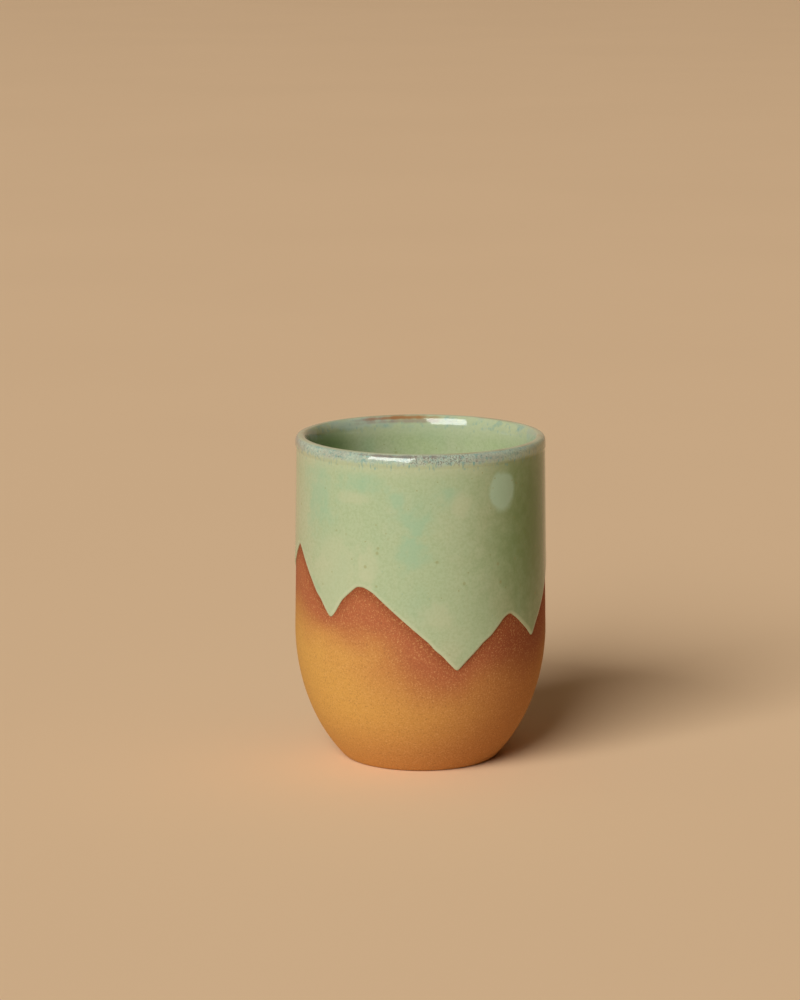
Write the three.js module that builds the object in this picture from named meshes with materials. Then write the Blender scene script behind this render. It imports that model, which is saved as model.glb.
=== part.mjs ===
// Tall handle-less stoneware cup: a thrown and trimmed clay body that carries three fired coats of glaze.
// The coats are one outside, down to a zigzag line, one inside, and a band over the lip.
// Millimetres, +Z up. The origin is the centre of the foot, on the surface that the cup stands on.
// The front of the cup, with the lowest tip of the glaze, faces -Y.

import * as THREE from 'three';
import { LoftGeometry } from 'three/addons/geometries/LoftGeometry.js';

// Clay body, outside
const CUP_HEIGHT = 108.9; // over the glazed lip
const BELLY_RADIUS = 42; // the widest place
const BELLY_HEIGHT = 44;
const FOOT_RADIUS = 25.5; // where the curve of the bowl runs out at the table
const HEEL_SOFTENING = 1; // how far in and up the edge of the foot is rounded
const LIP_RADIUS = 40.95;

// Clay body, inside and underneath
const BELLY_WALL = 3.4;
const LIP_WALL = 3.7; // where the rounding of the lip starts
const LIP_CREST = 1.7; // from the outside of the lip in to its crest
const LIP_FALL_OUTSIDE = 2.6; // height of the rounding outside
const LIP_FALL_INSIDE = 6.6; // height of the longer rounding inside
const FLOOR_THICKNESS = 5.5;
const BOWL_SQUARENESS = 3; // exponent of the superellipse from the wall to the floor
const FOOT_RING_WIDTH = 5;
const RECESS_DEPTH = 1.5;

// Glaze
const COAT_THICKNESS = 0.4;
const RIM_BAND_OUTSIDE = 4.5; // down from the top of the lip
const RIM_BAND_INSIDE = 7.5;
const PEAK_DROP = 33.9; // from the top of the lip down to the highest peak of bare clay
const TIP_HEIGHT = 37; // from the table up to the lowest tip of glaze
const PEAK_SPREAD = 4; // degrees each side over which a peak is rounded
const TIP_SPREAD = 2.5; // degrees each side over which a tip is rounded

// Corners of the glaze line: degrees from the front towards +X, then the share of the way up from the
// lowest tip to the highest peak. Peaks of clay and tips of glaze take turns, and the first is a peak.
const GLAZE_LINE = [
  [-73, 1],
  [-45, 0.42],
  [-28, 0.76],
  [16.5, 0],
  [44, 0.49],
  [60.5, 0.21],
  [90, 0.84],
  [122, 0.16],
  [150, 0.63],
  [182, 0.08],
  [212, 0.7],
  [240, 0.45],
];

const FULL_TURN = 360; // degrees

// Fineness of the facets
const WIDEST_COLUMN = 6; // degrees
const CORNER_STEPS = 2;
const HEEL_STEPS = 3;
const BARE_STEPS = 9;
const BARE_CROWDING = 1.5; // above 1, the rows crowd towards the foot, where the wall curves most
const COATED_STEPS = 5;
const LIP_STEPS = 5; // up to the crest, and as many down
const BOWL_STEPS = 9;

const bandBottom = CUP_HEIGHT - RIM_BAND_OUTSIDE;
const bandBottomInside = CUP_HEIGHT - RIM_BAND_INSIDE;
const clayTop = CUP_HEIGHT - COAT_THICKNESS;
const wallTop = clayTop - LIP_FALL_OUTSIDE;
const wallTopInside = clayTop - LIP_FALL_INSIDE;
const floorTop = RECESS_DEPTH + FLOOR_THICKNESS;

// Outside of the clay: an ellipse from the foot to the belly, then a straight taper up to the lip
function outerRadius(height) {
  if (height > BELLY_HEIGHT) {
    return THREE.MathUtils.mapLinear(height, BELLY_HEIGHT, wallTop, BELLY_RADIUS, LIP_RADIUS);
  }
  const footShare = FOOT_RADIUS / BELLY_RADIUS;
  const ellipseDepth = BELLY_HEIGHT / Math.sqrt(1 - footShare ** 2);
  return BELLY_RADIUS * Math.sqrt(1 - ((BELLY_HEIGHT - height) / ellipseDepth) ** 2);
}

// Inside of the clay above the belly
function innerRadius(height) {
  const bellyInside = BELLY_RADIUS - BELLY_WALL;
  const lipInside = LIP_RADIUS - LIP_WALL;
  return THREE.MathUtils.mapLinear(height, BELLY_HEIGHT, wallTopInside, bellyInside, lipInside);
}

// The glaze line unrolled: x is the angle in degrees, y the height, with a rounded curve at each corner
function glazeLinePath() {
  const highest = CUP_HEIGHT - PEAK_DROP;
  const corners = GLAZE_LINE.map(([angle, share]) => {
    return new THREE.Vector2(angle, THREE.MathUtils.lerp(TIP_HEIGHT, highest, share));
  });
  const onceRound = new THREE.Vector2(FULL_TURN, 0);
  const first = corners[0];
  const last = corners[corners.length - 1];
  const line = new THREE.Path();
  corners.forEach((corner, i) => {
    const before = i > 0 ? corners[i - 1] : last.clone().sub(onceRound);
    const after = i < corners.length - 1 ? corners[i + 1] : first.clone().add(onceRound);
    const spread = i % 2 === 0 ? PEAK_SPREAD : TIP_SPREAD;
    const start = corner.clone().lerp(before, spread / (corner.x - before.x));
    const end = corner.clone().lerp(after, spread / (after.x - corner.x));
    if (i === 0) {
      line.moveTo(start.x, start.y);
    } else {
      line.lineTo(start.x, start.y);
    }
    line.quadraticCurveTo(corner.x, corner.y, end.x, end.y);
  });
  const start = line.getPoint(0).add(onceRound);
  line.lineTo(start.x, start.y);
  return line;
}

// Columns round the cup, each with its angle and the height of the glaze line there. Every coat shares
// them with the clay, so that the coats lie on the clay facet on facet.
function wallColumns() {
  const bends = glazeLinePath().getPoints(CORNER_STEPS);
  const columns = [];
  for (let i = 0; i < bends.length - 1; i += 1) {
    const steps = Math.ceil((bends[i + 1].x - bends[i].x) / WIDEST_COLUMN);
    for (let k = 0; k < steps; k += 1) {
      columns.push(bends[i].clone().lerp(bends[i + 1], k / steps));
    }
  }
  return columns;
}

const columns = wallColumns();

// Each of the next four functions gives a stretch of the cut through one side of the cup, as points of
// radius and height. A coat's free face is the same stretch of clay, standing proud by the coat.

function underside() {
  const ringInside = FOOT_RADIUS - FOOT_RING_WIDTH;
  const heelStart = new THREE.Vector2(FOOT_RADIUS - HEEL_SOFTENING, 0);
  const heelCorner = new THREE.Vector2(FOOT_RADIUS, 0);
  const heelEnd = new THREE.Vector2(outerRadius(HEEL_SOFTENING), HEEL_SOFTENING);
  const heel = new THREE.QuadraticBezierCurve(heelStart, heelCorner, heelEnd);
  return [
    new THREE.Vector2(0, RECESS_DEPTH),
    new THREE.Vector2(ringInside - RECESS_DEPTH, RECESS_DEPTH),
    new THREE.Vector2(ringInside, 0),
    ...heel.getPoints(HEEL_STEPS),
  ];
}

function bareWall(lineHeight) {
  const points = [];
  for (let k = 1; k < BARE_STEPS; k += 1) {
    const share = (k / BARE_STEPS) ** BARE_CROWDING;
    const height = THREE.MathUtils.lerp(HEEL_SOFTENING, lineHeight, share);
    points.push(new THREE.Vector2(outerRadius(height), height));
  }
  return points;
}

function coatedWall(lineHeight, proud) {
  const points = [];
  for (let k = 0; k <= COATED_STEPS; k += 1) {
    const height = THREE.MathUtils.lerp(lineHeight, bandBottom, k / COATED_STEPS);
    points.push(new THREE.Vector2(outerRadius(height) + proud, height));
  }
  return points;
}

// A quarter of an ellipse up to the crest of the lip, then a longer one down inside
function lip(proud) {
  const crest = LIP_RADIUS - LIP_CREST;
  const reach = LIP_CREST + proud;
  const fall = LIP_FALL_OUTSIDE + proud;
  const reachInside = LIP_WALL - LIP_CREST + proud;
  const fallInside = LIP_FALL_INSIDE + proud;
  const up = new THREE.EllipseCurve(crest, wallTop, reach, fall, 0, Math.PI / 2);
  const down = new THREE.EllipseCurve(crest, wallTopInside, reachInside, fallInside, Math.PI / 2, Math.PI);
  return [
    new THREE.Vector2(outerRadius(bandBottom) + proud, bandBottom),
    ...up.getPoints(LIP_STEPS),
    ...down.getPoints(LIP_STEPS).slice(1),
    new THREE.Vector2(innerRadius(bandBottomInside) - proud, bandBottomInside),
  ];
}

function inside(proud) {
  const bowlRadius = BELLY_RADIUS - BELLY_WALL - proud;
  const bowlDepth = BELLY_HEIGHT - floorTop - proud;
  const power = 2 / BOWL_SQUARENESS;
  const points = [new THREE.Vector2(innerRadius(bandBottomInside) - proud, bandBottomInside)];
  for (let k = 0; k < BOWL_STEPS; k += 1) {
    const turn = (k / BOWL_STEPS) * (Math.PI / 2);
    const radius = bowlRadius * Math.cos(turn) ** power;
    points.push(new THREE.Vector2(radius, BELLY_HEIGHT - bowlDepth * Math.sin(turn) ** power));
  }
  points.push(new THREE.Vector2(0, floorTop + proud));
  return points;
}

function clayCut(lineHeight) {
  const outside = [...underside(), ...bareWall(lineHeight), ...coatedWall(lineHeight, 0)];
  return [...outside, ...lip(0).slice(1), ...inside(0).slice(1)];
}

function outerGlazeCut(lineHeight) {
  const seat = coatedWall(lineHeight, 0);
  const face = coatedWall(lineHeight, COAT_THICKNESS);
  return [...seat, ...face.reverse(), seat[0]];
}

function rimGlazeCut() {
  const seat = lip(0);
  const face = lip(COAT_THICKNESS);
  return [...seat, ...face.reverse(), seat[0]];
}

function linerGlazeCut() {
  return [...inside(0).reverse(), ...inside(COAT_THICKNESS)];
}

// Turns a cut round the cup's axis, column by column. A cut that runs clockwise, as a coat's does when it
// follows the clay first, has its faces turned over.
function turned(cutAt) {
  const cuts = columns.map((column) => cutAt(column.y));
  const rings = cuts[0].map((_, row) => {
    return columns.map((column, i) => {
      const angle = THREE.MathUtils.degToRad(column.x);
      const { x: radius, y: height } = cuts[i][row];
      return new THREE.Vector3(radius * Math.sin(angle), -radius * Math.cos(angle), height);
    });
  });
  const geometry = new LoftGeometry(rings);
  if (THREE.ShapeUtils.isClockWise(cuts[0])) {
    geometry.index.array.reverse();
    geometry.computeVertexNormals();
  }
  return geometry;
}

function piece(name, cutAt, color, roughness) {
  const material = new THREE.MeshStandardMaterial({ color, roughness, metalness: 0 });
  const mesh = new THREE.Mesh(turned(cutAt), material);
  mesh.name = name;
  return mesh;
}

const cup = new THREE.Group();
cup.add(
  piece('clay_body', clayCut, 0xc48a4a, 0.85),
  piece('outer_glaze', outerGlazeCut, 0xa9bf98, 0.15),
  piece('rim_glaze', rimGlazeCut, 0x8b9890, 0.2),
  piece('liner_glaze', linerGlazeCut, 0xa6bb90, 0.15),
);

export default cup;
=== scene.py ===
"""Dresses a tall handle-less stoneware cup.

Bare clay carries three coats of glaze: one outside, down to a zigzag line, one inside, and a band
over the lip. Lengths are in metres, +Z is up and the front of the cup faces -Y.
"""

import math
from typing import NamedTuple

import bmesh
import bpy
import numpy as np
from bpy.props import FloatProperty, FloatVectorProperty, PointerProperty
from mathutils import Euler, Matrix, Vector


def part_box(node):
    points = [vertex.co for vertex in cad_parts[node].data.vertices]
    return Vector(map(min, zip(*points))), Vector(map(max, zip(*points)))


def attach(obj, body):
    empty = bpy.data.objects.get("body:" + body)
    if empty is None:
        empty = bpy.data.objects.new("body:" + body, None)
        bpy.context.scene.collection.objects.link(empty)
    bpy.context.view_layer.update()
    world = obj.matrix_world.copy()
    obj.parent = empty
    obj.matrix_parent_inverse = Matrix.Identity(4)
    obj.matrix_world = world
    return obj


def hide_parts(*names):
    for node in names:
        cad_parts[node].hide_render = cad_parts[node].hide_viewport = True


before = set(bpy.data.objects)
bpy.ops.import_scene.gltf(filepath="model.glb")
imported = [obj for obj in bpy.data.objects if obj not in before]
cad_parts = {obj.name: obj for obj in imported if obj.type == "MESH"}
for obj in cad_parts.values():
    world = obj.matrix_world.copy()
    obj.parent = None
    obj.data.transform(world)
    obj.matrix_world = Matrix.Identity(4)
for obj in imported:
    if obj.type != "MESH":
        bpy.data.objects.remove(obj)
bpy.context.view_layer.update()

bl_info = {
    "name": "Tall Stoneware Cup",
    "version": (1, 0, 0),
    "blender": (4, 5, 0),
    "location": "View3D > Sidebar > Cup",
    "description": "Builds a thrown stoneware cup with a zigzag glaze line, piece by piece",
    "category": "Add Mesh",
}

MM = 0.001
_, CLAY_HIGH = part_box("clay_body")
_, OUTER_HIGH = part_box("outer_glaze")
_, RIM_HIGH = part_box("rim_glaze")
LINER_LOW, LINER_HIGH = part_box("liner_glaze")

MERGE_DISTANCE = 0.001 * MM
SHARP_ANGLE = 40  # degrees

# The glaze line, as bends of degrees from the front towards +X and millimetres above the table.
# The front follows the photograph, and the back goes on in the same way.
GLAZE_LINE = (
    (-84, 67.6), (-78, 71.6), (-73, 74.6), (-69, 72.2), (-58, 63.3), (-54.5, 60.2),
    (-51.5, 58.6), (-48, 55.4), (-44.8, 52.9), (-42, 55.0), (-38, 59.6), (-34, 62.2),
    (-30, 64.7), (-26.5, 64.7), (-22, 63.1), (-17, 60.0), (0, 49.3), (4, 46.8),
    (5.5, 45.2), (10, 42.4), (11.5, 41.0), (16.3, 37.3), (20, 40.2), (29, 46.4),
    (33, 48.3), (40.5, 53.7), (44, 54.7), (48, 52.8), (56, 47.9), (60, 44.8),
    (63.5, 48.2), (73, 55.5), (84, 64.5), (91, 68.8), (97, 65.0), (110, 52.6),
    (117, 45.6), (122, 43.0), (128, 47.4), (144, 58.6), (151, 61.4), (157, 58.0),
    (174, 44.8), (182, 40.0), (188, 44.6), (206, 60.6), (213, 63.8), (220, 60.4),
    (233, 55.6), (240, 54.0), (252, 57.4), (266, 63.4),
)
LINE_STEP = 0.25  # degrees between the points that the smoothed line is kept at
LINE_SOFTENING = 1.6  # degrees over which the glaze rounds a bend
LINE_PASSES = 2  # times that the line is smoothed
LINE_BATCHES = 64  # parts in which a piece's places are set against the line, to spare memory
SHARE_STRIDE = 4  # every fourth point of the line is enough for a share of glaze
STEP_SLOPE = 1.7  # gives a logistic step the slope of a bell curve's sum


class Mark(NamedTuple):
    """An oval place on the cup's wall with another tone: the clay's or the glaze's own, or painted
    shade, light or reflection.
    """

    angle: float  # degrees from the front towards +X
    height: float  # millimetres above the table
    wide: float  # half its width, in millimetres
    tall: float  # half its height, in millimetres
    soft: float  # share of the oval, each way, over which its edge fades
    ragged: float = 0.0  # share of the oval, each way, by which its edge wanders
    strength: float = 1.0


# Marks in the green glaze: thin and thick places, a painted reflection and two places of painted
# shade.
# Painted reflection: a pale bluish oval that stands in for a light mirrored in the glaze on the
# right.
PAINTED_REFLECTION_MARK = Mark(39.3, 95.5, 5.2, 6.3, soft=0.2, ragged=0.08, strength=0.7)
CREAM_MARKS = [
    Mark(*oval, soft=0.4, ragged=0.25, strength=0.42)
    for oval in (
        (-32, 94, 6, 2), (-24, 71.5, 4, 6.5), (6.5, 56, 6, 4), (18, 92.5, 3.5, 4),
        (-40, 65, 11, 14),
    )
]
JADE_MARKS = [
    Mark(*oval, soft=0.9, ragged=0.5, strength=0.6)
    for oval in (
        (-53, 93, 6, 9), (-28, 98.5, 5, 3), (-12, 94, 2.5, 3), (12, 96, 3, 3),
        (-3, 86, 3.5, 4), (-4, 77, 4, 4.5),
    )
]
# Painted shade: darkens the right side, which faces away from the key light.
SHADED_SIDE_MARK = Mark(69, 84, 22, 34, soft=0.9, ragged=0.1, strength=0.95)
# Painted shade: darkens the inside under the lip at the left, which the key light doesn't reach.
INSIDE_SHADE_MARK = Mark(-108, 99, 20, 8, soft=0.5, strength=0.9)

# Marks in the rim band: where dark beads crowd, where it turns mauve, and where it fades.
BEADED_MARK = Mark(10, 107, 10, 5, soft=0.5, ragged=0.2)
MAUVE_MARK = Mark(-86, 106.8, 14, 3, soft=0.5, ragged=0.3, strength=0.5)
FADED_MARK = Mark(92, 107, 26, 7, soft=0.5, ragged=0.2)

# Marks on the lip: thin, bare and smeared places on the far side, painted light inside the lip at
# the back left, and a dark line on the near side.
THIN_MARK = Mark(-161, 108, 9, 0.5, soft=0.6, ragged=0.3, strength=0.75)
BARE_MARK = Mark(-171, 108.1, 10.5, 0.65, soft=0.5, ragged=0.2, strength=0.9)
SMEAR_MARK = Mark(-170, 107, 12, 0.6, soft=0.6, ragged=0.4, strength=0.65)
# Painted light: pales the inside of the lip at the back left, where it catches the key light.
LIT_LIP_MARK = Mark(-143, 107.4, 15, 1.6, soft=0.5, ragged=0.3, strength=0.7)
LIP_MARK = Mark(-13, 108.2, 12, 0.35, soft=0.5, ragged=0.4, strength=0.6)

# Places where the clay is browner, and painted shade in a clay wedge on the side away from the
# light.
BROWNER_MARKS = (
    Mark(57, 26, 26, 28, soft=0.9, strength=0.6),
    Mark(-5, 40, 16, 16, soft=0.9, strength=0.45),
    Mark(2, 4, 30, 12, soft=0.9, strength=0.45),
)
# Painted shade: deep red-brown in the wedge of clay on the side away from the key light.
SHADED_WEDGE_MARK = Mark(50, 48, 15, 12, soft=0.8, strength=0.8)

# Depths below the top of the lip, in millimetres, between which each of these fades in upwards.
GLOW_FADE = (9, 3.5)
CLOUD_FADE = (4.8, 3)
DRIP_FADE = (6.2, 4)
FLECK_FADE = (6.5, 4)
BAND_FADE = (3.8, 2.4)
CREST_FADE = (0.4, 0.1)

BAND_WANDER = 0.7 * MM  # how far the lower edge of the rim band strays, up or down
SHADE_END = 2 * MM  # height above the outer coat over which its painted shade ends
LIP_TURN = (-0.8 * MM, 0.2 * MM)  # out from the lip's crest, between which the sides' tones meet
EDGE_FADE = (0.5 * MM, 1.5 * MM)  # from the glaze line, between which its pale edge ends


class CupSizes(bpy.types.PropertyGroup):
    """Sizes of the cup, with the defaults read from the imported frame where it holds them."""

    belly_radius: FloatProperty(
        name="Belly Radius", description="Bare clay at the widest place",
        default=CLAY_HIGH.x, unit="LENGTH",
    )
    belly_height: FloatProperty(
        name="Belly Height", description="Height of the widest place",
        default=44 * MM, unit="LENGTH",
    )
    foot_radius: FloatProperty(
        name="Foot Radius", description="Where the curve of the bowl runs out",
        default=25.5 * MM, unit="LENGTH",
    )
    heel_softening: FloatProperty(
        name="Heel Softening", description="How far the edges of the foot are rounded",
        default=1 * MM, unit="LENGTH",
    )
    ring_width: FloatProperty(
        name="Foot Ring Width", description="Ring that the cup stands on",
        default=5 * MM, unit="LENGTH",
    )
    recess_depth: FloatProperty(
        name="Recess Depth", description="Trimmed recess under the floor",
        default=1.5 * MM, unit="LENGTH",
    )
    lip_radius: FloatProperty(
        name="Lip Radius", description="Clay at the lip, outside",
        default=40.95 * MM, unit="LENGTH",
    )
    lip_wall: FloatProperty(
        name="Lip Wall", description="Thickness of the clay below the lip",
        default=3.7 * MM, unit="LENGTH",
    )
    lip_crest: FloatProperty(
        name="Lip Crest", description="From the outside of the lip in to its crest",
        default=1.7 * MM, unit="LENGTH",
    )
    lip_fall: FloatProperty(
        name="Lip Fall Outside", description="Height of the rounding outside",
        default=2.6 * MM, unit="LENGTH",
    )
    lip_fall_inside: FloatProperty(
        name="Lip Fall Inside", description="Height of the rounding inside",
        default=6.6 * MM, unit="LENGTH",
    )
    belly_wall: FloatProperty(
        name="Belly Wall", description="Thickness of the clay at the belly",
        default=3.4 * MM, unit="LENGTH",
    )
    clay_top: FloatProperty(
        name="Clay Top", description="Height of the bare clay lip",
        default=CLAY_HIGH.z, unit="LENGTH",
    )
    floor_top: FloatProperty(
        name="Floor Top", description="Height of the clay floor inside",
        default=LINER_LOW.z, unit="LENGTH",
    )
    bowl_squareness: FloatProperty(
        name="Bowl Squareness", description="Exponent of the curve from wall to floor",
        default=3.0, unit="NONE",
    )
    coat: FloatProperty(
        name="Coat", description="Thickness of the fired glaze",
        default=RIM_HIGH.z - CLAY_HIGH.z, unit="LENGTH",
    )
    bead: FloatProperty(
        name="Bead", description="Extra thickness of the rolled lower edge",
        default=0.06 * MM, unit="LENGTH",
    )
    rim_bead: FloatProperty(
        name="Rim Bead", description="Extra thickness of the glaze round the lip",
        default=0.15 * MM, unit="LENGTH",
    )
    side_bead: FloatProperty(
        name="Side Bead", description="Extra thickness at the sides of the lip, full at the left",
        default=0.35 * MM, unit="LENGTH",
    )
    side_squareness: FloatProperty(
        name="Side Squareness", description="Added to the lip's exponent of 2 at its sides",
        default=1.5, unit="NONE",
    )
    band_outside: FloatProperty(
        name="Band Outside", description="Lower edge of the rim band outside",
        default=OUTER_HIGH.z, unit="LENGTH",
    )
    band_inside: FloatProperty(
        name="Band Inside", description="Lower edge of the rim band inside",
        default=LINER_HIGH.z, unit="LENGTH",
    )


def colour(name, description, default):
    """A colour that the user can change, in linear light."""
    return FloatVectorProperty(
        name=name, description=description, default=default,
        subtype="COLOR", size=3, min=0.0, max=1.0,
    )


class CupColours(bpy.types.PropertyGroup):
    """Colours of the clay, the glazes and the floor."""

    ochre: colour("Ochre Clay", "Bare clay away from the glaze", (0.65, 0.35, 0.074))
    flash: colour("Flashed Clay", "Red-brown clay near the glaze", (0.41, 0.118, 0.043))
    # Also the painted shade in the clay wedge on the side away from the key light.
    burnt_and_shade: colour("Burnt Clay", "Deep red-brown clay at the glaze", (0.265, 0.060, 0.018))
    grain: colour("Pale Grain", "Light sand in the clay", (0.72, 0.42, 0.16))
    dark_grain: colour("Dark Grain", "Dark sand in the clay", (0.22, 0.09, 0.03))
    green: colour("Green Glaze", "Main tone of the glaze", (0.40, 0.50, 0.30))
    lining: colour("Lining Glaze", "Main tone of the glaze inside", (0.455, 0.535, 0.285))
    cream: colour("Cream Glaze", "Thin yellowish places in the glaze", (0.495, 0.53, 0.335))
    jade: colour("Jade Glaze", "Thick bluish places in the glaze", (0.30, 0.485, 0.31))
    # Also the painted shade on the right side and inside under the lip.
    moss: colour("Moss Glaze", "Thick dark green places in the glaze", (0.118, 0.215, 0.045))
    speck: colour("Glaze Speck", "Iron specks in the glaze", (0.27, 0.26, 0.09))
    edge: colour("Glaze Edge", "Pale rolled edge of the glaze", (0.53, 0.59, 0.385))
    # Painted reflection: a pale bluish oval standing in for a light mirrored in the glaze.
    reflection_tint: colour("Finger Mark", "Pale oval left by a fingertip", (0.42, 0.59, 0.42))
    slate: colour("Rim Slate", "Blue-grey of the rim band", (0.345, 0.455, 0.37))
    # Also the painted light inside the lip at the back left.
    pale: colour("Rim Pale", "Milky places of the rim band", (0.475, 0.56, 0.43))
    plum: colour("Rim Plum", "Purple-brown beads in the rim band", (0.17, 0.11, 0.10))
    mauve: colour("Rim Mauve", "Thin brownish places in the rim band", (0.34, 0.235, 0.185))
    teal: colour("Rim Teal", "Dots and short runs below the rim band", (0.16, 0.34, 0.31))
    rust: colour("Rim Rust", "Where the glaze breaks thin on the lip", (0.36, 0.155, 0.05))
    floor: colour("Floor", "Plain floor under the cup", (0.92, 0.655, 0.40))
    floor_shade: colour("Floor Shade", "Faint darker places of the floor", (0.70, 0.48, 0.28))


def sizes():
    """The sizes that this scene's cup is built to."""
    return bpy.context.scene.cup_sizes


def colours():
    """The colours that this scene's cup is dressed in."""
    return bpy.context.scene.cup_colours


# Shape of the clay

def outer_radius(height):
    """Outside of the clay: an ellipse up to the belly, then a straight taper to the lip."""
    s = sizes()
    ellipse_depth = s.belly_height / math.sqrt(1 - (s.foot_radius / s.belly_radius) ** 2)
    below = np.minimum(height, s.belly_height)
    bowl = s.belly_radius * np.sqrt(1 - ((s.belly_height - below) / ellipse_depth) ** 2)
    rise = (height - s.belly_height) / (s.clay_top - s.lip_fall - s.belly_height)
    taper = s.belly_radius + (s.lip_radius - s.belly_radius) * rise
    return np.where(height > s.belly_height, taper, bowl)


def inner_radius(height):
    """Inside of the clay above the belly."""
    s = sizes()
    rise = (height - s.belly_height) / (s.clay_top - s.lip_fall_inside - s.belly_height)
    belly_inside = s.belly_radius - s.belly_wall
    return belly_inside + (s.lip_radius - s.lip_wall - belly_inside) * rise


def lip_top():
    """Height of the glazed lip."""
    s = sizes()
    return s.clay_top + s.coat


def softened(start, corner, end, steps):
    """Points of a curve that rounds the corner between two straight runs."""
    curve = []
    for t in np.linspace(0, 1, steps + 1):
        weights = ((1 - t) ** 2, 2 * t * (1 - t), t ** 2)
        corners = (start, corner, end)
        curve.append(tuple(sum(w * p[i] for w, p in zip(weights, corners)) for i in (0, 1)))
    return curve


def wall_run(low, high, rows):
    """Points up the outside of the clay."""
    return [(float(outer_radius(z)), z) for z in np.linspace(low, high, rows + 1)]


def lip_run(proud, rows):
    """Points over the lip: a quarter ellipse up to its crest, then a longer one down inside."""
    s = sizes()
    run = []
    for turn in np.linspace(0, math.pi, 2 * rows + 1):
        if turn <= math.pi / 2:
            reach, fall = s.lip_crest, s.lip_fall
        else:
            reach, fall = s.lip_wall - s.lip_crest, s.lip_fall_inside
        radius = s.lip_radius - s.lip_crest + (reach + proud) * math.cos(turn)
        run.append((radius, s.clay_top - fall + (fall + proud) * math.sin(turn)))
    return run


def inside_run(proud, wall_rows, bowl_rows):
    """Points down the inside of the cup, from the rim band to the middle of the floor."""
    s = sizes()
    wall = np.linspace(s.band_inside, s.belly_height, wall_rows + 1)
    run = [(inner_radius(z) - proud, z) for z in wall]
    bowl_radius = s.belly_radius - s.belly_wall - proud
    bowl_depth = s.belly_height - s.floor_top - proud
    power = 2 / s.bowl_squareness
    for turn in np.linspace(0, math.pi / 2, bowl_rows + 1)[1:-1]:
        depth = bowl_depth * math.sin(turn) ** power
        run.append((bowl_radius * math.cos(turn) ** power, s.belly_height - depth))
    return run + [(0.0, s.floor_top + proud)]


# The glaze line

def smoothed_line():
    """Heights of the glaze line every LINE_STEP degrees once round, with its bends softened."""
    angles = np.arange(-180, 180, LINE_STEP)
    bends = np.array(GLAZE_LINE)
    heights = np.interp(angles, bends[:, 0], bends[:, 1] * MM, period=360)
    reach = round(LINE_SOFTENING / LINE_STEP / 2)
    for _ in range(LINE_PASSES):
        heights = sum(np.roll(heights, k) for k in range(-reach, reach + 1)) / (2 * reach + 1)
    return angles, heights


def line_height(angles):
    """Heights of the glaze line at these angles."""
    line_angles, heights = smoothed_line()
    return np.interp(angles, line_angles, heights, period=360)


def to_line(angles, heights, stride=1):
    """How far the line's points lie across and up the unrolled wall, some places at a time."""
    line_angles, line_heights = (part[::stride] for part in smoothed_line())
    arc = math.radians(1) * sizes().belly_radius
    for part in np.array_split(np.arange(len(angles)), LINE_BATCHES):
        across = ((line_angles - angles[part, None] + 180) % 360 - 180) * arc
        yield across, line_heights - heights[part, None]


def line_distance(angles, heights):
    """Distance along the wall from the glaze line."""
    nearest = [np.min(across ** 2 + up ** 2, axis=1) for across, up in to_line(angles, heights)]
    return np.sqrt(np.concatenate(nearest))


def glaze_share(angles, heights, reach):
    """Share of glaze within reach: most in a wedge of clay, least at a tip of glaze."""
    shares = []
    for across, up in to_line(angles, heights, SHARE_STRIDE):
        weights = np.exp(-0.5 * (across / reach) ** 2)
        glazed = 1 / (1 + np.exp(STEP_SLOPE * up / reach))
        shares.append(np.sum(weights * glazed, axis=1) / np.sum(weights, axis=1))
    return np.concatenate(shares)


# Building pieces

def spun(profile, columns, closed):
    """A profile of radius and height turned once round the cup's axis."""
    mesh = bmesh.new()
    points = [mesh.verts.new((radius, 0, height)) for radius, height in profile]
    edges = [mesh.edges.new(pair) for pair in zip(points, points[1:])]
    if closed:
        edges.append(mesh.edges.new((points[-1], points[0])))
    bmesh.ops.spin(
        mesh, geom=points + edges, cent=(0, 0, 0), axis=(0, 0, 1), dvec=(0, 0, 0),
        angle=2 * math.pi, steps=columns, use_merge=True,
    )
    bmesh.ops.remove_doubles(mesh, verts=mesh.verts, dist=MERGE_DISTANCE)
    return mesh


def polar(mesh):
    """Angle from the front in degrees, radius and height of every vertex."""
    places = np.array([v.co for v in mesh.verts])
    angles = np.degrees(np.arctan2(places[:, 0], -places[:, 1]))
    return angles, np.hypot(places[:, 0], places[:, 1]), places[:, 2]


def move_to_polar(mesh, angles, radii, heights):
    """Moves every vertex to an angle, a radius and a height."""
    turns = np.radians(angles)
    places = zip(radii * np.sin(turns), -radii * np.cos(turns), heights)
    for vertex, place in zip(mesh.verts, places):
        vertex.co = place


def keep_on_vertices(mesh, name, values):
    """Keeps a number on every vertex for the piece's material."""
    layer = mesh.verts.layers.float.new(name)
    for vertex, value in zip(mesh.verts, values):
        vertex[layer] = value


def finished_piece(mesh, node, material):
    """Makes the object, dresses it and puts it in the place of its CAD node."""
    bmesh.ops.recalc_face_normals(mesh, faces=mesh.faces)
    data = bpy.data.meshes.new(node)
    mesh.to_mesh(data)
    mesh.free()
    data.shade_smooth()
    data.set_sharp_from_angle(angle=math.radians(SHARP_ANGLE))
    data.materials.append(material)
    piece = bpy.data.objects.new(node + "_fine", data)
    bpy.context.scene.collection.objects.link(piece)
    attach(piece, "root")
    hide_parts(node)


# Materials

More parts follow.
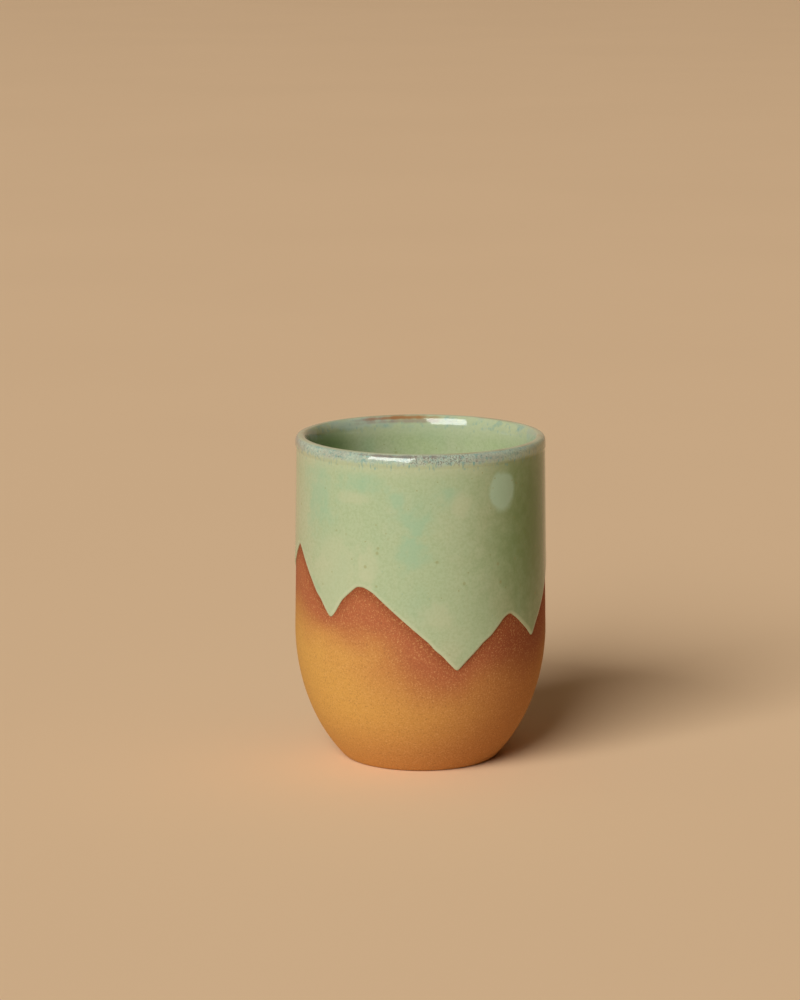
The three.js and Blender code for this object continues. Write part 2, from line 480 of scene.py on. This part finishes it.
class Finish:
    """The nodes of a material or of the world, written one at a time."""

    SPECK_CORE = 0.4  # share of a speck's radius inside which it is full
    DRAW_STEP = 0.02  # width of the step between cells without a speck and cells with one
    WANDER_SCALE = 260  # wanderings of a ragged edge to the metre

    def __init__(self, owner, coordinates="Object"):
        owner.use_nodes = True
        self.owner = owner
        self.tree = owner.node_tree
        self.tree.nodes.clear()
        self.place = self.node("TexCoord").outputs[coordinates]

    def node(self, kind, inputs=None, **settings):
        """A new node with its settings, its sockets set to numbers or linked."""
        made = self.tree.nodes.new("ShaderNode" + kind)
        for setting, value in settings.items():
            setattr(made, setting, value)
        for socket, value in (inputs or {}).items():
            if isinstance(value, bpy.types.NodeSocket):
                self.tree.links.new(value, made.inputs[socket])
            else:
                made.inputs[socket].default_value = value
        return made

    def times(self, first, second):
        return self.node("Math", {0: first, 1: second}, operation="MULTIPLY").outputs[0]

    def plus(self, first, second):
        return self.node("Math", {0: first, 1: second}, operation="ADD").outputs[0]

    def ramp(self, value, low, high, at_low=0.0, at_high=1.0):
        """A soft step: at_low where value is under low, at_high where it is over high."""
        inputs = {0: value, 1: low, 2: high, 3: at_low, 4: at_high}
        return self.node("MapRange", inputs, interpolation_type="SMOOTHSTEP").outputs[0]

    def mix(self, share, first, second):
        """The first colour where share is 0, the second where it is 1."""
        inputs = {0: share, 6: rgba(first), 7: rgba(second)}
        return self.node("Mix", inputs, data_type="RGBA").outputs[2]

    def stretched(self, scale, shift=(0, 0, 0)):
        """The place on the piece, scaled and then shifted."""
        inputs = {"Vector": self.place, "Scale": scale, "Location": shift}
        return self.node("Mapping", inputs).outputs[0]

    def length(self, place):
        return self.node("VectorMath", {0: place}, operation="LENGTH").outputs["Value"]

    def cloud(self, scale, detail=2.0, rough=0.5, place=None):
        """Noise from 0 to 1, with about so many patches to the metre."""
        place = place or self.place
        inputs = {"Vector": place, "Scale": scale, "Detail": detail, "Roughness": rough}
        return self.node("TexNoise", inputs).outputs[0]

    def specks(self, scale, size, share, strength=1.0, place=None):
        """Sparse round specks in a share of the cells: strength inside a speck, 0 outside."""
        cells = self.node("TexVoronoi", {"Vector": place or self.place, "Scale": scale})
        draw = self.node("SeparateColor", {0: cells.outputs["Color"]}).outputs[0]
        kept = self.ramp(draw, 1 - share, 1 - share + self.DRAW_STEP)
        core = size * self.SPECK_CORE
        return self.times(self.ramp(cells.outputs["Distance"], core, size, strength, 0.0), kept)

    def mark(self, mark):
        """The mark's strength inside its oval, 0 outside."""
        turn = math.radians(mark.angle)
        radius = float(outer_radius(mark.height * MM)) + sizes().coat
        centre = (radius * math.sin(turn), -radius * math.cos(turn), mark.height * MM)
        halves = (mark.wide * MM, mark.wide * MM, mark.tall * MM)
        shift = [-middle / half for middle, half in zip(centre, halves)]
        reach = self.length(self.stretched([1 / half for half in halves], shift))
        if mark.ragged:
            wander = self.cloud(self.WANDER_SCALE)
            reach = self.plus(reach, self.ramp(wander, 0.3, 0.7, -mark.ragged, mark.ragged))
        return self.ramp(reach, 1 - mark.soft, 1 + mark.soft, mark.strength, 0.0)

    def radius(self):
        """Distance from the cup's axis."""
        return self.length(self.stretched((1, 1, 0)))

    def height(self):
        """Height above the table."""
        return self.node("SeparateXYZ", {0: self.place}).outputs[2]

    def attribute(self, name):
        """A number that is kept on the piece's vertices."""
        return self.node("Attribute", attribute_name=name).outputs["Fac"]

    def bump(self, height, strength, distance, normal=None):
        """A normal that follows fine relief, over another normal where one is given."""
        inputs = {"Height": height, "Strength": strength, "Distance": distance}
        if normal:
            inputs["Normal"] = normal
        return self.node("Bump", inputs).outputs[0]

    def surface(self, inputs):
        """The finished material."""
        shader = self.node("BsdfPrincipled", inputs)
        self.node("OutputMaterial", {"Surface": shader.outputs[0]})
        return self.owner


def rgba(value):
    """A colour property as the four numbers of a node socket; a link passes through."""
    if isinstance(value, bpy.types.NodeSocket):
        return value
    return (*value, 1.0)


def clay_finish():
    """Sandy ochre stoneware that flashes red-brown beside the glaze, with painted shade in a wedge
    on the right.
    """
    c = colours()
    f = Finish(bpy.data.materials.new("bare_clay"))
    wander = f.ramp(f.cloud(45), 0.3, 0.7, -0.06, 0.06)
    halo = f.ramp(f.plus(f.attribute("glaze_near"), wander), 0.05, 0.55)
    tone = c.ochre
    for place in BROWNER_MARKS:
        tone = f.mix(f.mark(place), tone, c.flash)
    tone = f.mix(halo, tone, c.flash)
    tone = f.mix(f.ramp(f.attribute("glaze_close"), 0.02, 0.55), tone, c.burnt_and_shade)
    # Painted shade: deep red-brown in the clay wedge on the side away from the key light.
    tone = f.mix(f.mark(SHADED_WEDGE_MARK), tone, c.burnt_and_shade)
    rings = f.cloud(1.0, detail=3.0, rough=0.6, place=f.stretched((2, 2, 520)))
    tone = f.mix(f.ramp(rings, 0.3, 0.7, 0.0, 0.06), tone, c.dark_grain)
    sand = f.cloud(1900, rough=0.75)
    tone = f.mix(f.ramp(sand, 0.50, 0.74, 0.0, 0.55), tone, c.grain)
    tone = f.mix(f.ramp(sand, 0.26, 0.48, 0.5, 0.0), tone, c.dark_grain)
    dust = f.specks(2300, size=0.36, share=0.3)
    tone = f.mix(f.times(dust, f.ramp(halo, 0.1, 0.6, 0.10, 0.14)), tone, c.grain)
    tone = f.mix(f.specks(260, size=0.09, share=0.10, strength=0.5), tone, c.dark_grain)
    relief = f.bump(rings, strength=0.15, distance=0.2 * MM)
    relief = f.bump(sand, strength=0.45, distance=0.14 * MM, normal=relief)
    return f.surface({
        "Base Color": tone,
        "Roughness": f.ramp(sand, 0.3, 0.7, 0.75, 0.92),
        "Specular IOR Level": 0.3,
        "Normal": relief,
    })


def outside_of_lip(f):
    """1 outside the crest of the lip, 0 inside it."""
    s = sizes()
    crest = s.lip_radius - s.lip_crest
    inner, outer = LIP_TURN
    return f.ramp(f.radius(), crest + inner, crest + outer)


def inside_of_lip(f):
    """1 inside the crest of the lip, 0 outside it."""
    return f.ramp(outside_of_lip(f), 0.0, 1.0, 1.0, 0.0)


def towards_lip(f, height, fade, share=1.0):
    """0 below the first depth under the lip, share above the second."""
    low, high = (lip_top() - depth * MM for depth in fade)
    return f.ramp(height, low, high, 0.0, share)


def glaze_tone(f, main):
    """Colour of the green glaze with its cream and jade patches, streaks and fine grain."""
    c = colours()
    thin = f.cloud(38, detail=3.0, rough=0.55)
    tone = f.mix(f.ramp(thin, 0.44, 0.70, 0.0, 0.7), main, c.cream)
    thick = f.cloud(52, place=f.stretched((1, 1, 0.7), (0.31, 0.17, 0.05)))
    tone = f.mix(f.ramp(thick, 0.54, 0.74, 0.0, 0.3), tone, c.jade)
    streaks = f.cloud(1.0, rough=0.6, place=f.stretched((420, 420, 38)))
    tone = f.mix(f.ramp(streaks, 0.3, 0.75, 0.0, 0.14), tone, c.cream)
    grain = f.cloud(1100, rough=0.7)
    return f.mix(f.ramp(grain, 0.35, 0.70, 0.0, 0.16), tone, c.moss)


def speckled(f, tone):
    """Adds the sparse iron specks and a few fainter blue-green ones."""
    c = colours()
    tone = f.mix(f.specks(170, size=0.13, share=0.8, strength=0.45), tone, c.speck)
    tone = f.mix(f.specks(290, size=0.10, share=0.6, strength=0.6), tone, c.speck)
    return f.mix(f.specks(330, size=0.09, share=0.4, strength=0.3), tone, c.teal)


def painted_side_shade(f, tone):
    """Paints shade on the side away from the key light, up to the rim band."""
    end = sizes().band_outside
    below = f.ramp(f.height(), end, end + SHADE_END, 1.0, 0.0)
    moss = f.times(f.mark(SHADED_SIDE_MARK), f.times(below, outside_of_lip(f)))
    return f.mix(moss, tone, colours().moss)


def glowing(f, tone):
    """Pales the glaze towards the rim band."""
    return f.mix(towards_lip(f, f.height(), GLOW_FADE, 0.5), tone, colours().cream)


def painted_inside_shade(f, tone):
    """Paints shade inside, under the lip at the left, where the key light doesn't reach."""
    return f.mix(f.times(f.mark(INSIDE_SHADE_MARK), inside_of_lip(f)), tone, colours().moss)


def clouded(f, tone):
    """Adds slate clouds and teal smudges under the lip, and painted light inside the lip at the
    back left.
    """
    c = colours()
    upper = towards_lip(f, f.height(), CLOUD_FADE)
    clouds = f.ramp(f.cloud(190, detail=3.0), 0.45, 0.65, 0.0, 0.5)
    tone = f.mix(f.times(clouds, upper), tone, c.slate)
    smudges = f.ramp(f.cloud(420), 0.54, 0.70, 0.0, 0.4)
    tone = f.mix(f.times(smudges, upper), tone, c.teal)
    # Painted light: a pale place inside the lip, where it catches the key light.
    return f.mix(f.times(f.mark(LIT_LIP_MARK), inside_of_lip(f)), tone, c.pale)


def dripping(f, tone):
    """Adds the teal runs and flecks below the rim band. Inside, the flecks are fainter."""
    c = colours()
    height = f.height()
    outside = outside_of_lip(f)
    drips = f.cloud(1.0, rough=0.6, place=f.stretched((1500, 1500, 260), (0.3, 0.1, 0.2)))
    drips = f.times(f.ramp(drips, 0.54, 0.66), f.ramp(outside, 0.0, 1.0, 0.0, 0.55))
    tone = f.mix(f.times(drips, towards_lip(f, height, DRIP_FADE)), tone, c.teal)
    flecks = f.specks(680, size=0.30, share=0.7, place=f.stretched((1, 1, 0.6)))
    flecks = f.times(flecks, f.ramp(outside, 0.0, 1.0, 0.4, 1.0))
    return f.mix(f.times(flecks, towards_lip(f, height, FLECK_FADE, 0.8)), tone, c.teal)


def rim_band(f):
    """Colour of the rim band: milky slate with teal and mauve places and plum beads."""
    c = colours()
    milk = f.cloud(1200, detail=3.0, rough=0.65)
    band = f.mix(f.ramp(milk, 0.40, 0.60), c.slate, c.pale)
    band = f.mix(f.ramp(f.cloud(90, detail=3.0), 0.45, 0.65, 0.0, 0.3), band, c.mauve)
    band = f.mix(f.ramp(f.cloud(800), 0.52, 0.66, 0.0, 0.55), band, c.teal)
    band = f.mix(f.mark(MAUVE_MARK), band, c.mauve)
    beads = f.cloud(2100, rough=0.6, place=f.stretched((1, 1, 1), (0.2, 0.4, 0.1)))
    crowding = f.ramp(f.mark(BEADED_MARK), 0.0, 1.0, -0.09, 0.015)
    return f.mix(f.ramp(f.plus(beads, crowding), 0.50, 0.60, 0.0, 0.75), band, c.plum)


def banded(f, tone):
    """Adds the rim band outside, with its ragged lower edge and the place where it fades."""
    runs = f.cloud(1.0, detail=3.0, rough=0.6, place=f.stretched((520, 520, 190)))
    ragged = f.plus(f.height(), f.ramp(runs, 0.3, 0.7, -BAND_WANDER, BAND_WANDER))
    band = f.times(towards_lip(f, ragged, BAND_FADE, 0.9), outside_of_lip(f))
    kept = f.ramp(f.mark(FADED_MARK), 0.0, 1.0, 1.0, 0.25)
    return f.mix(f.times(band, kept), tone, rim_band(f))


def worn(f, tone):
    """Pales the thin crest of the lip, and adds the brown and dark places on it."""
    c = colours()
    crest = towards_lip(f, f.height(), CREST_FADE, 0.85)
    tone = f.mix(crest, tone, c.cream)
    rubbed = f.ramp(f.cloud(60), 0.55, 0.66, 0.0, 0.3)
    tone = f.mix(f.times(crest, rubbed), tone, c.rust)
    tone = f.mix(f.mark(LIP_MARK), tone, c.plum)
    tone = f.mix(f.mark(SMEAR_MARK), tone, c.mauve)
    tone = f.mix(f.mark(THIN_MARK), tone, c.mauve)
    return f.mix(f.mark(BARE_MARK), tone, c.rust)


def glaze_surface(f, tone):
    """A glossy, faintly wavy coat, with all that its tone does near the lip."""
    waves = f.bump(f.cloud(85), strength=0.18, distance=0.5 * MM)
    return f.surface({
        "Base Color": worn(f, banded(f, dripping(f, clouded(f, tone)))),
        "Roughness": f.ramp(f.cloud(300, detail=3.0), 0.3, 0.7, 0.05, 0.10),
        "IOR": 1.52,
        "Normal": f.bump(f.cloud(1300), strength=0.05, distance=0.2 * MM, normal=waves),
    })


def outer_glaze_finish():
    """Green glaze with thin and thick marks, a painted reflection, painted shade on its right side
    and a pale rolled edge.
    """
    c = colours()
    f = Finish(bpy.data.materials.new("green_glaze"))
    tone = glaze_tone(f, c.green)
    for place in JADE_MARKS:
        tone = f.mix(f.mark(place), tone, c.jade)
    # Painted shade on the side away from the key light.
    tone = painted_side_shade(f, glowing(f, tone))
    for place in CREAM_MARKS:
        tone = f.mix(f.mark(place), tone, c.cream)
    # Painted reflection of a pale light on the right side.
    tone = f.mix(f.mark(PAINTED_REFLECTION_MARK), tone, c.reflection_tint)
    tone = f.mix(f.ramp(f.attribute("above_edge"), *EDGE_FADE, 0.6, 0.0), tone, c.edge)
    return glaze_surface(f, speckled(f, tone))


def rim_glaze_finish():
    """The band over the lip, between the tones of the two sides that it joins."""
    c = colours()
    f = Finish(bpy.data.materials.new("rim_glaze"))
    main = f.mix(outside_of_lip(f), c.lining, c.green)
    return glaze_surface(f, painted_inside_shade(f, painted_side_shade(f, glowing(f, glaze_tone(f, main)))))


def liner_glaze_finish():
    """Green glaze inside the cup."""
    f = Finish(bpy.data.materials.new("liner_glaze"))
    return glaze_surface(f, painted_inside_shade(f, glowing(f, speckled(f, glaze_tone(f, colours().lining)))))


def floor_finish():
    """A plain pale matt floor."""
    c = colours()
    f = Finish(bpy.data.materials.new("pale_floor"))
    shade = f.ramp(f.cloud(3, detail=3.0), 0.3, 0.7, 0.0, 0.06)
    tone = f.mix(shade, c.floor, c.floor_shade)
    return f.surface({"Base Color": tone, "Roughness": 0.9, "Specular IOR Level": 0.2})


# Operators

class CUP_OT_clay_body(bpy.types.Operator):
    """Spin the thrown clay with its trimmed foot"""

    bl_idname = "cup.clay_body"
    bl_label = "Clay Body"

    COLUMNS = 240
    RING_ROWS = 4
    HEEL_ROWS = 5
    WALL_ROWS = 96
    LIP_ROWS = 5
    INSIDE_ROWS = 4
    BOWL_ROWS = 12
    FLASH_REACH = 9 * MM
    BURN_REACH = 3 * MM

    def foot_run(self):
        """Points under the cup, from the middle of the recess to the heel."""
        s = sizes()
        soft, depth = s.heel_softening, s.recess_depth
        ring_inside = s.foot_radius - s.ring_width
        recess_edge = (ring_inside - depth, depth)
        recess_end = (recess_edge[0] - soft, depth)
        slope = (ring_inside - depth / 2, depth / 2)
        ring_edge, ring_start = (ring_inside, 0.0), (ring_inside + soft, 0.0)
        ring_end, heel = (s.foot_radius - soft, 0.0), (s.foot_radius, 0.0)
        heel_end = (float(outer_radius(soft)), soft)
        run = [(0.0, depth)]
        run += softened(recess_end, recess_edge, slope, self.RING_ROWS)
        run += softened(slope, ring_edge, ring_start, self.RING_ROWS)[1:]
        run += softened(ring_end, heel, heel_end, self.HEEL_ROWS)
        return run

    def execute(self, context):
        s = sizes()
        profile = self.foot_run()
        profile += wall_run(s.heel_softening, s.clay_top - s.lip_fall, self.WALL_ROWS)[1:]
        profile += lip_run(0.0, self.LIP_ROWS)[1:]
        profile += inside_run(0.0, self.INSIDE_ROWS, self.BOWL_ROWS)
        mesh = spun(profile, self.COLUMNS, closed=False)
        angles, _, heights = polar(mesh)
        near = np.sqrt(glaze_share(angles, heights, self.FLASH_REACH))
        keep_on_vertices(mesh, "glaze_near", near)
        keep_on_vertices(mesh, "glaze_close", glaze_share(angles, heights, self.BURN_REACH))
        finished_piece(mesh, "clay_body", clay_finish())
        return {"FINISHED"}


class CUP_OT_outer_glaze(bpy.types.Operator):
    """Spin the outside coat as a sleeve and pull its lower edge to the glaze line"""

    bl_idname = "cup.outer_glaze"
    bl_label = "Outer Glaze"

    COLUMNS = 480
    SEAT_RADIUS = 1.0  # of the sleeve before it is pulled onto the clay
    FACE_RADIUS = 2.0
    EDGE_RISES = (0, 0.02, 0.06, 0.12, 0.2, 0.3, 0.45, 0.65, 0.95, 1.35, 1.9, 2.6, 3.6, 5.0)
    UPPER_ROWS = 26
    SEAT_ROWS = 6
    EDGE_ROUND = 1.0 * MM
    BEAD_REACH = 2.2 * MM

    def execute(self, context):
        s = sizes()
        zone = self.EDGE_RISES[-1] * MM
        rises = [rise * MM for rise in self.EDGE_RISES]
        rises += list(np.linspace(zone, s.band_outside, self.UPPER_ROWS + 1)[1:])
        face = [(self.FACE_RADIUS, rise) for rise in rises]
        falls = np.linspace(s.band_outside, 0, self.SEAT_ROWS + 1)[:-1]
        seat = [(self.SEAT_RADIUS, rise) for rise in falls]
        mesh = spun(face + seat, self.COLUMNS, closed=True)
        angles, radii, rises = polar(mesh)
        line = line_height(angles)
        stretch = (s.band_outside - line - zone) / (s.band_outside - zone)
        heights = line + np.minimum(rises, zone) + np.maximum(rises - zone, 0) * stretch
        above = line_distance(angles, heights)
        round_edge = np.sqrt(1 - (1 - np.clip(above / self.EDGE_ROUND, 0, 1)) ** 2)
        thickness = s.coat + s.bead * np.exp(-((above / self.BEAD_REACH) ** 2))
        on_face = radii > (self.SEAT_RADIUS + self.FACE_RADIUS) / 2
        proud = np.where(on_face, thickness * round_edge, 0.0)
        move_to_polar(mesh, angles, outer_radius(heights) + proud, heights)
        keep_on_vertices(mesh, "above_edge", above)
        finished_piece(mesh, "outer_glaze", outer_glaze_finish())
        return {"FINISHED"}


class CUP_OT_rim_glaze(bpy.types.Operator):
    """Spin the band of glaze over the lip"""

    bl_idname = "cup.rim_glaze"
    bl_label = "Rim Glaze"

    COLUMNS = 240
    WALL_ROWS = 6
    LIP_ROWS = 14
    BEAD_DROP = 3.4 * MM
    BEAD_REACH = 0.8 * MM
    SIDE_DROP = 2.0 * MM
    SIDE_REACH = 1.5 * MM
    RIGHT_SHARE = 0.4  # of the side bead
    FACE_SHARE = 0.9  # of the way out to the coat's face, past which a point lies on that face
    OFF_CREST = 0.001  # share of the way out from the crest, past which a point is outside it
    LEAST_SUM = 0.01  # keeps the division from zero at points that aren't moved

    def run(self, proud):
        """Points from the outer glaze over the lip to the liner."""
        s = sizes()
        wall = wall_run(s.band_outside, s.clay_top - s.lip_fall, self.WALL_ROWS)[:-1]
        outside = [(radius + proud, height) for radius, height in wall]
        within = (inner_radius(s.band_inside) - proud, s.band_inside)
        return outside + lip_run(proud, self.LIP_ROWS) + [within]

    def beads(self, drops, aside):
        """Extra thickness of the face at these depths below the top of the lip."""
        s = sizes()
        leftward = aside ** 2 * np.where(aside < 0, 1.0, self.RIGHT_SHARE)
        all_round = s.rim_bead * np.exp(-(((drops - self.BEAD_DROP) / self.BEAD_REACH) ** 2))
        sides = np.exp(-(((drops - self.SIDE_DROP) / self.SIDE_REACH) ** 2))
        return all_round + s.side_bead * leftward * sides

    def fill_out(self, mesh):
        """Rounds the face of the band, and squares its shoulder towards the lip's two sides."""
        s = sizes()
        top = lip_top()
        crest = s.lip_radius - s.lip_crest
        reach, fall = s.lip_crest + s.coat, s.lip_fall + s.coat
        angles, radii, heights = polar(mesh)
        aside = np.sin(np.radians(angles))
        across = np.maximum(radii - crest, 0) / reach
        up = np.maximum(heights - top + fall, 0) / fall
        out = np.hypot(across, up)
        power = 2 + s.side_squareness * aside ** 2
        total = np.maximum(across ** power + up ** power, self.LEAST_SUM)
        squared = out / total ** (1 / power)
        on_face = (across > self.OFF_CREST) & (out > self.FACE_SHARE)
        filled = crest + across * squared * reach + self.beads(top - heights, aside)
        raised = top - fall + up * squared * fall
        radii = np.where(on_face, filled, radii)
        heights = np.where(on_face & (up > 0), raised, heights)
        move_to_polar(mesh, angles, radii, heights)

    def execute(self, context):
        face, seat = self.run(sizes().coat), self.run(0.0)
        mesh = spun(face + seat[::-1], self.COLUMNS, closed=True)
        self.fill_out(mesh)
        finished_piece(mesh, "rim_glaze", rim_glaze_finish())
        return {"FINISHED"}


class CUP_OT_liner_glaze(bpy.types.Operator):
    """Spin the coat inside the cup"""

    bl_idname = "cup.liner_glaze"
    bl_label = "Liner Glaze"

    COLUMNS = 240
    WALL_ROWS = 16
    BOWL_ROWS = 40

    def execute(self, context):
        seat = inside_run(0.0, self.WALL_ROWS, self.BOWL_ROWS)
        face = inside_run(sizes().coat, self.WALL_ROWS, self.BOWL_ROWS)
        mesh = spun(seat[::-1] + face, self.COLUMNS, closed=False)
        finished_piece(mesh, "liner_glaze", liner_glaze_finish())
        return {"FINISHED"}


class CUP_OT_stage(bpy.types.Operator):
    """Set the floor, the soft lights and the camera"""

    bl_idname = "cup.stage"
    bl_label = "Stage"

    FLOOR_REACH = 12.0  # metres each way
    FLOOR_CELLS = 8
    CAMERA_PITCH = 10.8  # degrees down
    CAMERA_DISTANCE = 1.16665
    CAMERA_AIM = 86.48 * MM  # height that it looks at over the cup's axis
    CAMERA_SIDE = -6.85 * MM
    CAMERA_LENS = 126.0  # millimetres, as the sensor's width is
    CAMERA_SENSOR = 36.0
    KEY_ANGLE = -30.5  # degrees from the front
    KEY_HEIGHT = 33.0  # degrees up
    KEY_DISTANCE = 60.0
    KEY_WIDE = 37.0  # degrees, seen from the cup
    KEY_TALL = 31.0
    KEY_STRENGTH = 3.4
    TOP_SPREAD = 80.0  # degrees
    TOP_STRENGTH = 0.3
    TOP_TINT = (1.0, 0.72, 0.5)
    FILL_TINT = (0.85, 0.62, 0.40)
    FILL_STRENGTH = 0.025
    BACKDROP_STRENGTH = 0.65
    BACKDROP_SIDES = (0.0, 0.3)  # how far a direction points back, where the backdrop fades in
    BACKDROP_TOP = (0.4, 0.7)  # how far it points up, where the backdrop ends

    def floor(self):
        """A wide flat sheet that the cup stands on."""
        sheet = bmesh.new()
        cells = self.FLOOR_CELLS
        bmesh.ops.create_grid(sheet, x_segments=cells, y_segments=cells, size=self.FLOOR_REACH)
        data = bpy.data.meshes.new("floor")
        sheet.to_mesh(data)
        sheet.free()
        data.materials.append(floor_finish())
        floor = bpy.data.objects.new("floor", data)
        bpy.context.scene.collection.objects.link(floor)

    def soft_box(self):
        """A rectangular light so far off that it lights the whole floor evenly."""
        lamp = bpy.data.lights.new("key", "AREA")
        lamp.shape = "RECTANGLE"
        lamp.size = 2 * self.KEY_DISTANCE * math.tan(math.radians(self.KEY_WIDE / 2))
        lamp.size_y = 2 * self.KEY_DISTANCE * math.tan(math.radians(self.KEY_TALL / 2))
        lamp.energy = self.KEY_STRENGTH * math.pi * self.KEY_DISTANCE ** 2
        light = bpy.data.objects.new("key", lamp)
        turn = Euler((math.radians(90 - self.KEY_HEIGHT), 0, math.radians(self.KEY_ANGLE)))
        light.rotation_euler = turn
        light.location = turn.to_matrix() @ Vector((0, 0, self.KEY_DISTANCE))
        bpy.context.scene.collection.objects.link(light)

    def top_light(self):
        """A faint warm light from all over the ceiling."""
        lamp = bpy.data.lights.new("top", "SUN")
        lamp.energy = self.TOP_STRENGTH
        lamp.angle = math.radians(self.TOP_SPREAD)
        lamp.color = self.TOP_TINT
        bpy.context.scene.collection.objects.link(bpy.data.objects.new("top", lamp))

    def surroundings(self):
        """A faint fill all round, and a pale backdrop that only shows mirrored in the glaze."""
        f = Finish(bpy.data.worlds.new("studio"), "Generated")
        towards = f.node("SeparateXYZ", {0: f.place}).outputs
        back = f.ramp(towards["Y"], *self.BACKDROP_SIDES)
        low = f.ramp(towards["Z"], *self.BACKDROP_TOP, 1.0, 0.0)
        glossy = f.node("LightPath").outputs["Is Glossy Ray"]
        mirrored = f.times(f.times(back, low), glossy)
        strength = f.ramp(mirrored, 0.0, 1.0, self.FILL_STRENGTH, self.BACKDROP_STRENGTH)
        light = f.node("Background", {"Color": rgba(self.FILL_TINT), "Strength": strength})
        f.node("OutputWorld", {"Surface": light.outputs[0]})
        bpy.context.scene.world = f.owner

    def camera(self):
        """The photograph's view."""
        lens = bpy.data.cameras.new("camera")
        lens.lens = self.CAMERA_LENS
        lens.sensor_width = self.CAMERA_SENSOR
        camera = bpy.data.objects.new("camera", lens)
        pitch = math.radians(self.CAMERA_PITCH)
        away = self.CAMERA_DISTANCE * math.cos(pitch)
        above = self.CAMERA_DISTANCE * math.sin(pitch)
        camera.location = (self.CAMERA_SIDE, -away, self.CAMERA_AIM + above)
        camera.rotation_euler = (math.pi / 2 - pitch, 0, 0)
        bpy.context.scene.collection.objects.link(camera)
        bpy.context.scene.camera = camera

    def execute(self, context):
        context.scene.view_settings.view_transform = "Standard"
        self.floor()
        self.soft_box()
        self.top_light()
        self.surroundings()
        self.camera()
        return {"FINISHED"}


class CUP_PT_panel(bpy.types.Panel):
    """A button for each step, with the sizes and colours below"""

    bl_idname = "CUP_PT_panel"
    bl_label = "Tall Stoneware Cup"
    bl_space_type = "VIEW_3D"
    bl_region_type = "UI"
    bl_category = "Cup"

    def draw(self, context):
        for step in STEPS:
            self.layout.operator(step.bl_idname)
        for group in (context.scene.cup_sizes, context.scene.cup_colours):
            column = self.layout.column()
            for name in group.__annotations__:
                column.prop(group, name)


STEPS = (CUP_OT_clay_body, CUP_OT_outer_glaze, CUP_OT_rim_glaze, CUP_OT_liner_glaze, CUP_OT_stage)
CLASSES = (CupSizes, CupColours, *STEPS, CUP_PT_panel)


def register():
    """Adds the classes and the scene's sizes and colours to Blender."""
    for item in CLASSES:
        bpy.utils.register_class(item)
    bpy.types.Scene.cup_sizes = PointerProperty(type=CupSizes)
    bpy.types.Scene.cup_colours = PointerProperty(type=CupColours)


def unregister():
    """Takes them out again."""
    del bpy.types.Scene.cup_colours
    del bpy.types.Scene.cup_sizes
    for item in reversed(CLASSES):
        bpy.utils.unregister_class(item)


def main():
    """Builds the cup and its stage."""
    register()
    bpy.ops.cup.clay_body()
    bpy.ops.cup.outer_glaze()
    bpy.ops.cup.rim_glaze()
    bpy.ops.cup.liner_glaze()
    bpy.ops.cup.stage()
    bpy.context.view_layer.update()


if __name__ == "__main__":
    main()
